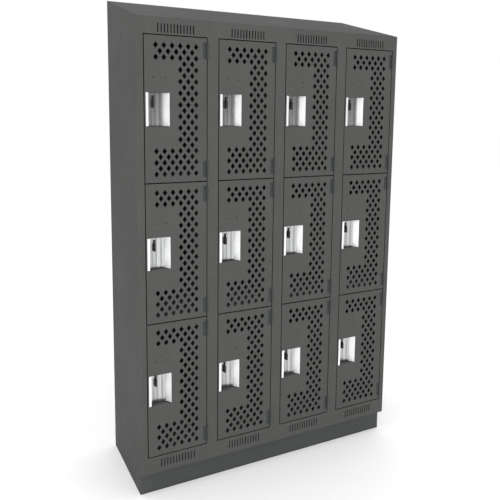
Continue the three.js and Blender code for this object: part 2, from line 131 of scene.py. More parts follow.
# ---- Paint: noise in cells to the metre, reaches and heights in metres ----
PEEL, MOTTLE, GRAIN, RUB = 420.0, 5.5, 95.0, 2.2
PAINT_ROUGHNESS, PAINT_SPECULAR = 0.56, 0.12
EDGE_REACH, EDGE_HIGHLIGHT_STRENGTH, GAP_SHADE_REACH = 0.0014, 0.35, 0.012
PEEL_STRENGTH, PEEL_HEIGHT = 0.32, 0.00022

# ---- Stainless: the grain runs up the cup, so it is coarse in z ----
HAIR_GRAIN, BAND_GRAIN = (1500.0, 700.0, 9.0), (150.0, 150.0, 2.0)
CUP_BACK_DEPTH = (0.021, 0.026)
CREASE_HALF_WIDTH = 1.5
BRUSHED_STRENGTH, BRUSHED_HEIGHT = 0.22, 0.00012

# ---- Small plated parts ----
CLOUD, PITS = 70.0, 900.0
PLATED_STRENGTH, PLATED_HEIGHT = 0.25, 0.00012


# ---- Finishes ----
class Field:
    """A value that varies over a surface; arithmetic on it adds Math nodes."""

    def __init__(self, finish, socket):
        self.finish = finish
        self.socket = socket

    def _maths(self, operation, first, second):
        return self.finish.add("ShaderNodeMath", {"operation": operation}, {0: first, 1: second})

    def __add__(self, other):
        return self._maths("ADD", self, other)

    __radd__ = __add__

    def __mul__(self, other):
        return self._maths("MULTIPLY", self, other)

    __rmul__ = __mul__

    def __sub__(self, other):
        return self._maths("SUBTRACT", self, other)

    def __rsub__(self, other):
        return self._maths("SUBTRACT", other, self)

    def over(self, low, high):
        """0 below low, 1 above high, and a straight ramp between them."""
        ends = {"Value": self, "From Min": low, "From Max": high}
        return self.finish.add("ShaderNodeMapRange", {}, ends)


class Finish:
    """A material under construction."""

    def __init__(self, name, metallic=0.0):
        self.material = bpy.data.materials.new(name)
        self.material.use_nodes = True
        self.tree = self.material.node_tree
        self.shader = self.tree.nodes["Principled BSDF"]
        self.shader.inputs["Metallic"].default_value = metallic
        place = self.tree.nodes.new("ShaderNodeTexCoord")
        self.place = Field(self, place.outputs["Object"])

    def add(self, kind, settings, values, out=0):
        """Any node: its settings first, then the values or links of its sockets."""
        node = self.tree.nodes.new(kind)
        for name, value in settings.items():
            setattr(node, name, value)
        for key, value in values.items():
            self.feed(node.inputs[key], value)
        return Field(self, node.outputs[out])

    def feed(self, socket, value):
        if isinstance(value, Field):
            self.tree.links.new(value.socket, socket)
        else:
            socket.default_value = value

    def set(self, **values):
        """Values or links for the shader's sockets, with _ for a space in a name."""
        for name, value in values.items():
            self.feed(self.shader.inputs[name.replace("_", " ")], value)

    def stretched(self, scale):
        return self.add("ShaderNodeMapping", {}, {"Vector": self.place, "Scale": scale})

    def noise(self, scale, detail, roughness, place=None):
        values = {
            "Vector": place or self.place,
            "Scale": scale,
            "Detail": detail,
            "Roughness": roughness,
        }
        return self.add("ShaderNodeTexNoise", {}, values)

    def along(self, axis):
        """How far a point is along one axis of the piece, in metres."""
        return self.add("ShaderNodeSeparateXYZ", {}, {0: self.place}, out=axis)

    def blend(self, mask, first, second):
        """The first colour where the mask is 0 and the second where it is 1."""
        colours = {0: mask, 6: first, 7: second}
        return self.add("ShaderNodeMix", {"data_type": "RGBA"}, colours, out=2)

    def open_air(self, reach):
        """1 in the open, falling towards 0 deep in a gap."""
        return self.add("ShaderNodeAmbientOcclusion", {"samples": 6}, {"Distance": reach}, out="AO")

    def edges(self, radius):
        """1 on a turned edge, 0 on the flat of a sheet."""
        eased = self.add("ShaderNodeBevel", {"samples": 4}, {"Radius": radius})
        flat = self.add("ShaderNodeNewGeometry", {}, {}, out="Normal")
        dot = {"operation": "DOT_PRODUCT"}
        agreement = self.add("ShaderNodeVectorMath", dot, {0: eased, 1: flat}, out="Value")
        return (1.0 - agreement).over(0.01, 0.12)

    def bump(self, height, strength, distance):
        values = {"Height": height, "Strength": strength, "Distance": distance}
        self.set(Normal=self.add("ShaderNodeBump", {}, values))


class Sky(Finish):
    """The studio's surround, graded in the same way as a finish."""

    def __init__(self, world):
        self.tree = world.node_tree
        self.shader = self.tree.nodes["Background"]
        place = self.tree.nodes.new("ShaderNodeTexCoord")
        self.place = Field(self, place.outputs["Generated"])


def shade(red, green, blue):
    """An sRGB colour out of 255 as the shader's linear colour."""

    def linear(level):
        part = level / 255
        return part / 12.92 if part <= 0.04045 else ((part + 0.055) / 1.055) ** 2.4

    return (linear(red), linear(green), linear(blue), 1.0)


WHITE = (1.0, 1.0, 1.0, 1.0)
# Painted highlight for eased edges, and painted shade for gaps and hollows.
EDGE_HIGHLIGHT, GAP_SHADE = shade(150, 151, 149), shade(18, 18, 18)
# Painted shade for the back of the handle cup and its crease.
SHADED_BACK_DULL, SHADED_BACK_BRIGHT = shade(152, 153, 153), shade(214, 215, 215)
CREASE_SHADE = shade(96, 97, 97)


def powder_coat(name, darker, lighter, gloss=0.0):
    """Polyester powder over steel: orange peel, faint mottling, painted edge highlights and painted
    gap shade.
    """
    finish = Finish(name)
    peel = finish.noise(PEEL, detail=3.0, roughness=0.55)
    mottle = finish.noise(MOTTLE, detail=4.0, roughness=0.6)
    grain = finish.noise(GRAIN, detail=2.0, roughness=0.6)
    rub = finish.noise(RUB, detail=5.0, roughness=0.65).over(0.45, 0.75)
    tone = mottle * 0.55 + grain * 0.45
    coat = finish.blend(tone.over(0.35, 0.65), darker, lighter)
    # Painted highlight: eased edges are lightened in patches, standing for the light caught along
    # them.
    edge_highlight = finish.edges(EDGE_REACH) * grain.over(0.3, 0.6)
    coat = finish.blend(edge_highlight * EDGE_HIGHLIGHT_STRENGTH, coat, EDGE_HIGHLIGHT)
    # Painted shade: the colour falls to near-black with ambient occlusion, in gaps, vents and under
    # overhangs.
    unshaded = finish.open_air(GAP_SHADE_REACH).over(0.3, 0.86)
    finish.set(Base_Color=finish.blend(unshaded, GAP_SHADE, coat))
    finish.set(Roughness=PAINT_ROUGHNESS - gloss + grain * 0.1 - rub * 0.07)
    finish.set(Specular_IOR_Level=PAINT_SPECULAR)
    finish.bump(peel * 0.8 + mottle * 0.6, PEEL_STRENGTH, PEEL_HEIGHT)
    return finish.material


def brushed_stainless(name, dull, bright, rough):
    """Stainless strip with its grain along the height of the cup, with painted shade at the cup's
    back.
    """
    finish = Finish(name, metallic=1.0)
    hairs = finish.noise(1.0, detail=4.0, roughness=0.7, place=finish.stretched(HAIR_GRAIN))
    bands = finish.noise(1.0, detail=2.0, roughness=0.5, place=finish.stretched(BAND_GRAIN))
    smears = finish.noise(30.0, detail=3.0, roughness=0.55)
    front = finish.blend((hairs * 0.5 + bands * 0.5).over(0.36, 0.64), dull, bright)
    # Painted shade and highlight: past these depths the back takes darker colours and full metal;
    # the lip and walls in front are near-white and part diffuse, a painted highlight.
    deep = finish.along("Y").over(*CUP_BACK_DEPTH)
    streaks = (hairs * 0.35 + bands * 0.65).over(0.36, 0.64)
    back = finish.blend(streaks, SHADED_BACK_DULL, SHADED_BACK_BRIGHT)
    # Painted shade: a darker line along the V crease of the back.
    from_crease = finish.along("X") - CREASE_X * MM
    flat = (from_crease * from_crease).over(0.0, (CREASE_HALF_WIDTH * MM) ** 2)
    back = finish.blend(flat, CREASE_SHADE, back)
    finish.set(Base_Color=finish.blend(deep, front, back), Metallic=0.4 + deep * 0.6)
    finish.set(Roughness=rough + hairs * 0.14 + smears * 0.08 + (1.0 - deep) * 0.12)
    finish.bump(hairs + bands * 0.4, BRUSHED_STRENGTH, BRUSHED_HEIGHT)
    return finish.material


def coated_metal(name, darker, lighter, metallic, rough):
    """Plated or lacquered small steel parts, a little cloudy and rubbed."""
    finish = Finish(name, metallic=metallic)
    cloud = finish.noise(CLOUD, detail=4.0, roughness=0.6)
    pits = finish.noise(PITS, detail=2.0, roughness=0.5)
    finish.set(Base_Color=finish.blend(cloud.over(0.35, 0.65), darker, lighter))
    finish.set(Roughness=rough + cloud * 0.16)
    finish.bump(pits + cloud * 0.5, PLATED_STRENGTH, PLATED_HEIGHT)
    return finish.material


def floor_finish():
    """A pale matt floor with a faint light of its own, so that it stays white far off."""
    finish = Finish("pale_floor")
    cloud = finish.noise(0.7, detail=3.0, roughness=0.5)
    finish.set(Base_Color=finish.blend(cloud, shade(252, 252, 252), shade(254, 254, 254)))
    finish.set(Roughness=0.7 + cloud * 0.05)
    finish.set(Emission_Color=WHITE, Emission_Strength=0.06)
    return finish.material


charcoal = powder_coat("charcoal_powder_coat", shade(75, 76, 74), shade(81, 82, 80))
# Painted shade: the end panels, base ends and hood take darker copies of the one charcoal paint, to
# even out the extra light their sides and top receive.
shaded_end_paint = powder_coat("end_powder_coat_shaded", shade(61, 62, 60), shade(67, 68, 66))
shaded_hood_paint = powder_coat("hood_powder_coat_shaded", shade(58, 59, 57), shade(64, 65, 63))
base_paint = powder_coat("base_powder_coat", shade(70, 73, 72), shade(75, 78, 77))
inside_paint = powder_coat(
    "inside_powder_coat", shade(84, 85, 83), shade(90, 91, 89), gloss=-0.05
)
# Painted light: the shelves and floors inside take a much lighter copy of the paint, standing for
# light through the perforations.
lit_shelf_paint = powder_coat(
    "shelf_powder_coat_lit", shade(112, 113, 111), shade(120, 121, 119), gloss=0.03
)
# The near-white colours, with the part diffuse front of the strip, paint the highlight on the cup's
# lip and walls.
stainless = brushed_stainless(
    "brushed_stainless", shade(240, 241, 241), shade(251, 252, 252), rough=0.13
)
hinge_steel = coated_metal(
    "hinge_steel", shade(44, 49, 48), shade(54, 59, 58), metallic=0.2, rough=0.45
)
latch_steel = coated_metal(
    "latch_steel", shade(26, 27, 27), shade(50, 52, 52), metallic=0.25, rough=0.5
)
rivet_steel = coated_metal(
    "rivet_steel", shade(14, 15, 14), shade(24, 25, 24), metallic=0.0, rough=0.65
)
# Painted shade: the walls of the punched diamonds are near-black, standing for the shade inside the
# holes.
hole_wall_shade = coated_metal(
    "painted_hole_shade", shade(16, 16, 16), shade(24, 24, 24), metallic=0.0, rough=0.7
)
hook_zinc = coated_metal(
    "hook_zinc", shade(150, 152, 153), shade(176, 178, 179), metallic=0.9, rough=0.34
)


# ---- Mesh helpers, in millimetres ----
def finished(name, mesh, material, body, place=(0.0, 0.0, 0.0), hides=None):
    """An object from a mesh, painted, placed and riding on its body."""
    piece = bpy.data.objects.new(name, mesh)
    bpy.context.scene.collection.objects.link(piece)
    if not mesh.materials:
        mesh.materials.append(material)
    piece.location = place
    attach(piece, body)
    if hides:
        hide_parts(hides)
    return piece


def put_in_order(elements, place_of):
    """Sorts a mesh's points or faces by where they are, so that every run gives one order."""
    ordered = sorted(elements, key=lambda item: [round(part, 3) for part in place_of(item)])
    rank = {item: number for number, item in enumerate(ordered)}
    elements.sort(key=lambda item: rank[item])


def mesh_from(name, bm, smooth_angle=None):
    """A mesh in metres from a bmesh in millimetres."""
    bmesh.ops.remove_doubles(bm, verts=bm.verts, dist=0.001)
    bmesh.ops.recalc_face_normals(bm, faces=bm.faces)
    put_in_order(bm.verts, lambda vert: vert.co)
    put_in_order(bm.faces, lambda face: face.calc_center_median())
    bmesh.ops.scale(bm, vec=(MM, MM, MM), verts=bm.verts)
    mesh = bpy.data.meshes.new(name)
    bm.to_mesh(mesh)
    bm.free()
    if smooth_angle is not None:
        mesh.shade_smooth()
        mesh.set_sharp_from_angle(angle=math.radians(smooth_angle))
    return mesh


def loop(bm, points, y):
    """A closed ring of edges in the plane of the door, at depth y."""
    verts = [bm.verts.new((x, y, z)) for x, z in points]
    edges = [bm.edges.new((verts[i - 1], verts[i])) for i in range(len(verts))]
    return verts, edges


def skin(bm, first, second):
    """Quads between two rings of the same count."""
    for i in range(len(first)):
        bm.faces.new((first[i - 1], first[i], second[i], second[i - 1]))


def skin_through(bm, rings):
    """Quads from each ring to the next."""
    for first, second in zip(rings, rings[1:]):
        skin(bm, first, second)


def plate(bm, rings, y):
    """A flat face at depth y, bounded by the first ring and pierced by the others.

    Returns the rings' vertices.
    """
    made = [loop(bm, ring, y) for ring in rings]
    edges = [edge for _, ring_edges in made for edge in ring_edges]
    bmesh.ops.triangle_fill(
        bm, use_beauty=True, use_dissolve=False, edges=edges, normal=(0.0, -1.0, 0.0)
    )
    return [verts for verts, _ in made]


def rounded(corners, radius, steps=3):
    """A convex outline with its corners rounded to a radius."""
    points = []
    for i, corner in enumerate(corners):
        here = Vector(corner)
        before = Vector(corners[i - 1]) - here
        after = Vector(corners[(i + 1) % len(corners)]) - here
        half = before.angle(after) / 2
        cut = radius / math.tan(half)
        start = here + before.normalized() * cut
        end = here + after.normalized() * cut
        inwards = (before.normalized() + after.normalized()).normalized()
        centre = here + inwards * radius / math.sin(half)
        for step in range(steps + 1):
            arm = (start - centre).lerp(end - centre, step / steps).normalized() * radius
            points.append(tuple(centre + arm))
    return points


def rectangle(x0, x1, z0, z1):
    return [(x0, z0), (x1, z0), (x1, z1), (x0, z1)]


def box(bm, x0, x1, y0, y1, z0, z1, ease=0.0):
    """A block, with its edges eased if asked."""
    made = bmesh.ops.create_cube(bm, size=1.0)["verts"]
    bmesh.ops.scale(bm, vec=(x1 - x0, y1 - y0, z1 - z0), verts=made)
    bmesh.ops.translate(bm, vec=((x0 + x1) / 2, (y0 + y1) / 2, (z0 + z1) / 2), verts=made)
    if ease:
        edges = list(dict.fromkeys(edge for vert in made for edge in vert.link_edges))
        bmesh.ops.bevel(bm, geom=edges, offset=ease, segments=2, affect="EDGES", profile=0.5)


def turned(bm, centre, axis, profile, sides):
    """A solid of revolution: profile is (radius, distance along the axis) from end to end."""
    axis = Vector(axis).normalized()
    side = axis.orthogonal().normalized()
    other = axis.cross(side)
    rings = []
    for radius, along in profile:
        ring = []
        for i in range(sides):
            turn = 2 * math.pi * i / sides
            arm = side * math.cos(turn) + other * math.sin(turn)
            ring.append(bm.verts.new(Vector(centre) + axis * along + arm * radius))
        rings.append(ring)
    skin_through(bm, rings)
    bm.faces.new(rings[0])
    bm.faces.new(list(reversed(rings[-1])))


def rivet(bm, centre, axis, size):
    """A low domed rivet head, its root sunk a little into the sheet."""
    radius, height = size
    profile = [(radius, -RIVET_ROOT)]
    profile += [(radius * across, height * up) for across, up in RIVET_DOME]
    turned(bm, centre, axis, profile, RIVET_SIDES)


# ---- Doors ----
def diamond_centres():
    """The staggered rows of perforations, from the top down, each from the right."""
    last = DOOR_WIDTH - LAST_COLUMN_INSET
    for row, count in enumerate(ROW_COUNTS):
        z = DOOR_HEIGHT - FIRST_ROW_DROP - row * ROW_PITCH
        end = last if count in LONG_ROWS else last - COLUMN_PITCH / 2
        for i in range(count):
            yield end - i * COLUMN_PITCH, z


def diamond(x, z):
    corners = [
        (x - DIAMOND_HALF_WIDTH, z),
        (x, z - DIAMOND_HALF_HEIGHT),
        (x + DIAMOND_HALF_WIDTH, z),
        (x, z + DIAMOND_HALF_HEIGHT),
    ]
    return rounded(corners, DIAMOND_CORNER, 2)


def leaf_window(low):
    """The outline of the recess that a hinge leaf lies in."""
    left = DOOR_WIDTH - LEAF_WIDTH - LEAF_ROOM
    right = DOOR_WIDTH - DOOR_BEND - LEAF_WINDOW_END
    return rectangle(left, right, low - LEAF_ROOM, low + HINGE_HEIGHT + LEAF_ROOM)


def pocket_plate(z):
    """The outline of the pocket's top or bottom in plan."""
    return [
        (CUP_LEFT, 0.0, z),
        (CUP_RIGHT, 0.0, z),
        (CUP_RIGHT - CUP_RIGHT_DRAFT, POCKET_DEPTH, z),
        (CUP_LEFT + CUP_LIP, POCKET_DEPTH, z),
    ]


def door_fold_profile():
    """The folded edge, from the face round the bend to the end of the sheet: (out, depth)."""
    turns = [math.radians(turn) for turn in DOOR_BEND_TURNS]
    profile = [(DOOR_BEND * math.sin(a), DOOR_BEND * (1 - math.cos(a))) for a in turns]
    inside = DOOR_BEND - DOOR_SHEET
    return profile + [(DOOR_BEND, DOOR_DEPTH), (inside, DOOR_DEPTH), (inside, DOOR_SHEET)]


def door_mesh():
    """The perforated pan: face, folded edges, recesses for the hinge leaves and the pocket."""
    bm = bmesh.new()
    left, top = LATCH_EDGE_EASE, DOOR_HEIGHT - TOP_EDGE_EASE
    inner = rectangle(left + DOOR_BEND, DOOR_WIDTH - DOOR_BEND, DOOR_BEND, top - DOOR_BEND)
    mouth = rounded(rectangle(CUP_LEFT, CUP_RIGHT, CUP_LOW, CUP_HIGH), MOUTH_RADIUS)
    holes = [diamond(x, z) for x, z in diamond_centres()]
    windows = [leaf_window(low) for low in HINGE_LOWS]
    front = plate(bm, [inner, mouth] + windows + holes, 0.0)
    back = plate(bm, [inner, mouth] + holes, DOOR_SHEET)
    # The walls of the diamonds take the second slot, the near-black painted shade.
    sheet_faces = len(bm.faces)
    for first, second in zip(front[4:], back[2:]):
        skin(bm, first, second)
    bm.faces.ensure_lookup_table()
    for face in bm.faces[sheet_faces:]:
        face.material_index = 1
    for ring, outline in zip(front[2:4], windows):
        skin(bm, ring, plate(bm, [outline], LEAF_RECESS)[0])
    rings = []
    for out, depth in door_fold_profile():
        inset = DOOR_BEND - out
        outline = rectangle(left + inset, DOOR_WIDTH - inset, inset, top - inset)
        rings.append([bm.verts.new((x, depth, z)) for x, z in outline])
    skin_through(bm, rings)
    low = [bm.verts.new(point) for point in pocket_plate(CUP_LOW)]
    high = [bm.verts.new(point) for point in pocket_plate(CUP_HIGH)]
    bm.faces.new(low)
    bm.faces.new(high)
    for i in (1, 3):
        j = (i + 1) % 4
        bm.faces.new((low[i], low[j], high[j], high[i]))
    return mesh_from("door_skin", bm)


def knuckle(bm, centre_x, low, high):
    length = high - low
    profile = [
        (KNUCKLE_RADIUS - KNUCKLE_CHAMFER, 0.0),
        (KNUCKLE_RADIUS, KNUCKLE_CHAMFER),
        (KNUCKLE_RADIUS, length - KNUCKLE_CHAMFER),
        (KNUCKLE_RADIUS - KNUCKLE_CHAMFER, length),
    ]
    turned(bm, (centre_x, -PIN_PROUD, low), (0, 0, 1), profile, KNUCKLE_SIDES)


def knuckle_spans(hinge_low, on_frame):
    """The heights of the knuckles of one half of a hinge: the frame has the 1st, 3rd and 5th."""
    pitch = HINGE_HEIGHT / KNUCKLES
    for i in range(KNUCKLES):
        if (i % 2 == 0) == on_frame:
            low, high = hinge_low + i * pitch, hinge_low + (i + 1) * pitch
            yield low + KNUCKLE_GAP / 2, high - KNUCKLE_GAP / 2


def hinge_leaf_mesh():
    """The door's half of both hinges: a leaf let into the face, and the knuckles rolled from it."""
    bm = bmesh.new()
    pin_x = DOOR_WIDTH + PIN_OUT
    left = DOOR_WIDTH - LEAF_WIDTH
    front, floor_y = -LEAF_PROUD, LEAF_RECESS - LEAF_FLOOR_GAP
    for low in HINGE_LOWS:
        high = low + HINGE_HEIGHT
        box(bm, left, DOOR_WIDTH - LEAF_END, front, floor_y, low, high, LEAF_EASE)
        for z0, z1 in knuckle_spans(low, False):
            box(bm, DOOR_WIDTH - STRAP_START, pin_x - STRAP_END, front, floor_y, z0, z1)
            knuckle(bm, pin_x, z0, z1)
        for z in (low + LEAF_RIVET_INSET, low + HINGE_HEIGHT / 2, high - LEAF_RIVET_INSET):
            rivet(bm, (left + LEAF_RIVET_X, front, z), (0, -1, 0), LEAF_RIVET)
    return mesh_from("door_hinge_leaves", bm, SMALL_PARTS_ANGLE)


def plate_rivet_mesh():
    """Two small rivets above the handle, where a number plate would go."""
    bm = bmesh.new()
    for x in PLATE_RIVET_X:
        rivet(bm, (x, 0.0, CUP_HIGH + PLATE_RIVET_RISE), (0, -1, 0), PLATE_RIVET)
    return mesh_from("number_plate_rivets", bm, SMALL_PARTS_ANGLE)


def cup_profile():
    """The strip's visible side in plan, with its bends rounded."""
    left, right = CUP_LEFT + CUP_SIDE_GAP, CUP_RIGHT - CUP_SIDE_GAP - CUP_SHEET
    corners = [
        (left, 0.0, 0.0),
        (left + CUP_LIP, 0.0, LIP_BEND),
        (left + CUP_LIP + CUP_LEFT_DRAFT, CUP_DEPTH, BACK_LEFT_BEND),
        (CREASE_X, CUP_DEPTH + CUP_CREASE, CREASE_BEND),
        (right - CUP_RIGHT_DRAFT, CUP_DEPTH, BACK_RIGHT_BEND),
        (right, 0.0, 0.0),
    ]
    points = [Vector(corners[0][:2])]
    for i in range(1, len(corners) - 1):
        here = Vector(corners[i][:2])
        before = (Vector(corners[i - 1][:2]) - here).normalized()
        after = (Vector(corners[i + 1][:2]) - here).normalized()
        cut = corners[i][2] / math.tan(before.angle(after) / 2)
        start, end = here + before * cut, here + after * cut
        for step in range(CUP_BEND_STEPS + 1):
            t = step / CUP_BEND_STEPS
            points.append(start * (1 - t) ** 2 + here * 2 * t * (1 - t) + end * t**2)
    points.append(Vector(corners[-1][:2]))
    return points


def offset_points(points, thickness):
    moved = []
    for i, point in enumerate(points):
        run = points[min(i + 1, len(points) - 1)] - points[max(i - 1, 0)]
        side = Vector((-run.y, run.x)).normalized()
        moved.append(point + side * thickness)
    return moved


def cup_mesh():
    """The bent strip with the lift's slot cut in its back."""
    slot_x = CUP_LEFT + SLOT_FROM_LEFT
    slot_left, slot_right = slot_x - SLOT_WIDTH / 2, slot_x + SLOT_WIDTH / 2
    slot_low = CUP_LOW + CUP_HEIGHT / 2 + SLOT_RISE
    slot_high = slot_low + SLOT_HEIGHT
    points = cup_profile()
    split = []
    for near, far in zip(points, points[1:]):
        split.append(near)
        for edge in (slot_left, slot_right):
            if near.x < edge < far.x and near.y > CUP_DEPTH - 1:
                split.append(near.lerp(far, (edge - near.x) / (far.x - near.x)))
    split.append(points[-1])
    hidden = offset_points(split, CUP_SHEET)
    in_slot = [slot_left - 0.01 <= p.x <= slot_right + 0.01 and p.y > CUP_DEPTH - 1 for p in split]
    levels = [CUP_LOW + CUP_FOOT_GAP, slot_low, slot_low + SLOT_END]
    levels += [slot_high - SLOT_END, slot_high, CUP_HIGH - CUP_HEAD_GAP]
    below_slot, above_slot = 0, len(levels) - 2
    bm = bmesh.new()
    for j, (z0, z1) in enumerate(zip(levels, levels[1:])):
        beside_slot = below_slot < j < above_slot
        for i in range(len(split) - 1):
            over_slot = in_slot[i] and in_slot[i + 1]
            if beside_slot and over_slot:
                continue
            a, a_back, b, b_back = split[i], hidden[i], split[i + 1], hidden[i + 1]
            quads = [
                ((a, z0), (b, z0), (b, z1), (a, z1)),
                ((a_back, z1), (b_back, z1), (b_back, z0), (a_back, z0)),
            ]
            if j == below_slot or (j == above_slot and over_slot):
                quads.append(((a, z0), (a_back, z0), (b_back, z0), (b, z0)))
            if j == above_slot or (j == below_slot and over_slot):
                quads.append(((a, z1), (b, z1), (b_back, z1), (a_back, z1)))
            if i == 0 or (beside_slot and in_slot[i - 1] and in_slot[i]):
                quads.append(((a, z0), (a, z1), (a_back, z1), (a_back, z0)))
            if i == len(split) - 2 or (beside_slot and in_slot[i + 1] and in_slot[i + 2]):
                quads.append(((b, z0), (b_back, z0), (b_back, z1), (b, z1)))
            for quad in quads:
                bm.faces.new([bm.verts.new((p.x, p.y, z)) for p, z in quad])
    return mesh_from("handle_cup_strip", bm, CUP_ANGLE)


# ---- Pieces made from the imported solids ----
def softened(node, name, material, body, width):
    """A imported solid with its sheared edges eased, in place of the sharp one."""
    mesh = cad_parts[node].data.copy()
    mesh.name = name
    mesh.materials.clear()
    bm = bmesh.new()
    bm.from_mesh(mesh)
    bmesh.ops.remove_doubles(bm, verts=bm.verts, dist=1e-6)
    flat = math.radians(1)
    bmesh.ops.dissolve_limit(bm, angle_limit=flat, verts=bm.verts, edges=bm.edges)
    bmesh.ops.triangulate(bm, faces=[face for face in bm.faces if len(face.verts) > 4])
    bm.to_mesh(mesh)
    bm.free()
    piece = finished(name, mesh, material, body, hides=node)
    bevel = piece.modifiers.new("eased_edges", "BEVEL")
    bevel.width = width * MM
    bevel.segments = 2
    bevel.limit_method = "ANGLE"
    bevel.angle_limit = math.radians(SHEARED_ANGLE)
    bevel.use_clamp_overlap = True


# ---- The doors, cups, lifts and hinges ----
door_skin = door_mesh()
door_skin.materials.append(charcoal)
door_skin.materials.append(hole_wall_shade)
hinge_leaves = hinge_leaf_mesh()
cup_strip = cup_mesh()
plate_rivets = plate_rivet_mesh()
for unit in range(1, UNITS + 1):
    for tier in TIERS:
        where = f"{unit}_{tier}"
        body = f"door_{where}"
        low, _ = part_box(body)
        place = (low.x, FACE_Y, low.z)
        cup = f"handle_cup_{where}"
        lift = f"latch_lift_{where}"
        for name, mesh, material, slot, hides in (
            ("perforated_door", door_skin, charcoal, "charcoal_paint", body),
            ("hinge_leaves", hinge_leaves, hinge_steel, "dark_zinc", None),
            ("number_rivets", plate_rivets, rivet_steel, "charcoal_paint", None),
            ("cup_liner", cup_strip, stainless, "stainless", cup),
        ):
            finished(f"{name}_{where}", mesh, material, body, place, hides)
        softened(lift, f"lift_{where}", latch_steel, lift, 0.45)


# ---- Frames, with the cabinet's half of each hinge ----
def frame_hinge_mesh(pin_x, lows):
    """The fixed knuckles of one unit, each with its strap to the stile, and the pins' tips."""
    bm = bmesh.new()
    strap_left, strap_right = (pin_x + out for out in FRAME_STRAP_X)
    for low in lows:
        for z0, z1 in knuckle_spans(low, True):
            knuckle(bm, pin_x, z0, z1)
            box(bm, strap_left, strap_right, *FRAME_STRAP_Y, z0, z1)
        tip = low + HINGE_HEIGHT - PIN_TIP_DROP
        turned(bm, (pin_x, -PIN_PROUD, tip), (0, 0, 1), PIN_TIP, PIN_TIP_SIDES)
    return mesh_from("frame_hinge_knuckles", bm, SMALL_PARTS_ANGLE)


hinge_heights = []
for tier in TIERS:
    tier_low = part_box(f"door_1_{tier}")[0].z / MM
    hinge_heights += [tier_low + low for low in HINGE_LOWS]
pin_from_unit = (door_low.x - BANK_LEFT) / MM + DOOR_WIDTH + PIN_OUT
frame_knuckles = frame_hinge_mesh(pin_from_unit, hinge_heights)
for unit in range(1, UNITS + 1):
    node = f"front_frame_{unit}"
    softened(node, f"frame_{unit}", charcoal, "cabinet", 0.5)
    place = (BANK_LEFT + (unit - 1) * UNIT_WIDTH, FACE_Y, 0.0)
    name = f"frame_knuckles_{unit}"
    finished(name, frame_knuckles, hinge_steel, "cabinet", place)


# ---- Body sheets ----
# The end panels, base ends and hood take the darker copies of the charcoal, painted shade.
for node, material, slot, width in (
    ("end_panel_left", shaded_end_paint, "charcoal_paint", 0.2),
    ("end_panel_right", shaded_end_paint, "charcoal_paint", 0.2),
    ("sloped_hood", shaded_hood_paint, "charcoal_paint", 0.3),
    ("back_panel", charcoal, "charcoal_paint", 0.2),
    ("base_toe_kick", base_paint, "base_paint", 0.5),
    ("base_end_left", shaded_end_paint, "base_paint", 0.5),
    ("base_end_right", shaded_end_paint, "base_paint", 0.5),
):
    softened(node, f"{node}_sheet", material, "cabinet", width)
# Shelves and floors take the lighter copy, painted light; partitions and tops take the inside
# paint.
for name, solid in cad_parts.items():
    if name.startswith(("shelf_", "partition_", "floor_panel", "top_panel")):
        is_floor = name.startswith(("shelf_", "floor_"))
        solid.data.materials.clear()
        solid.data.materials.append(lit_shelf_paint if is_floor else inside_paint)


# ---- Rivets of the end panels ----
def end_rivet_mesh(outward):
    """Rivets of an end panel; x is the panel's outer face, y and z are from its front foot."""
    bm = bmesh.new()
    front_fold = [(37, z) for z in (1624, 1380, 1136, 894, 652, 412, 115)]
    front_corners = [(42, 1916), (64, 1916), (56, 115)]
    back_fold = [(393, z) for z in (1916, 1309, 738, 117)]
    shelf_ends = [(95, 1309), (95, 738)]
    cross_folds = [(229, 1931), (229, 114)]
    hook_screws = [(229, z) for z in (1884, 1866, 1244.5, 1226.7, 685, 662.5)]
    edges = front_fold + front_corners + back_fold
    for y, z in edges + shelf_ends + cross_folds + hook_screws:
        rivet(bm, (0.0, y, z), (outward, 0, 0), PANEL_RIVET)
    return mesh_from("end_panel_rivets", bm, SMALL_PARTS_ANGLE)


for side, outward, x in (("left", -1, BANK_LEFT), ("right", 1, BANK_RIGHT)):
    rivets, place = end_rivet_mesh(outward), (x, FACE_Y, 0.0)
    finished(f"end_rivets_{side}", rivets, rivet_steel, "cabinet", place)


# ---- Lap seams of the back ----
def back_seam_mesh(low, high):
    """A lapped seam between two back sheets: a narrow strip, riveted at even heights."""
    bm = bmesh.new()
    box(bm, -SEAM_HALF_WIDTH, SEAM_HALF_WIDTH, -SEAM_SUNK, SEAM_PROUD, low, high, SEAM_EASE)
    run = high - low - 2 * SEAM_RIVET_INSET
    for i in range(SEAM_RIVETS):
        z = low + SEAM_RIVET_INSET + i * run / (SEAM_RIVETS - 1)
        rivet(bm, (0.0, SEAM_PROUD, z), (0, 1, 0), SEAM_RIVET)
    return mesh_from("back_lap_seam", bm, SMALL_PARTS_ANGLE)


back_low, back_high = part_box("back_panel")
back_seam = back_seam_mesh(back_low.z / MM + SEAM_END_GAP, back_high.z / MM - SEAM_END_GAP)
for joint in range(1, UNITS):
    place = (BANK_LEFT + joint * UNIT_WIDTH, back_high.y, 0.0)
    finished(f"back_seam_{joint}", back_seam, charcoal, "cabinet", place)


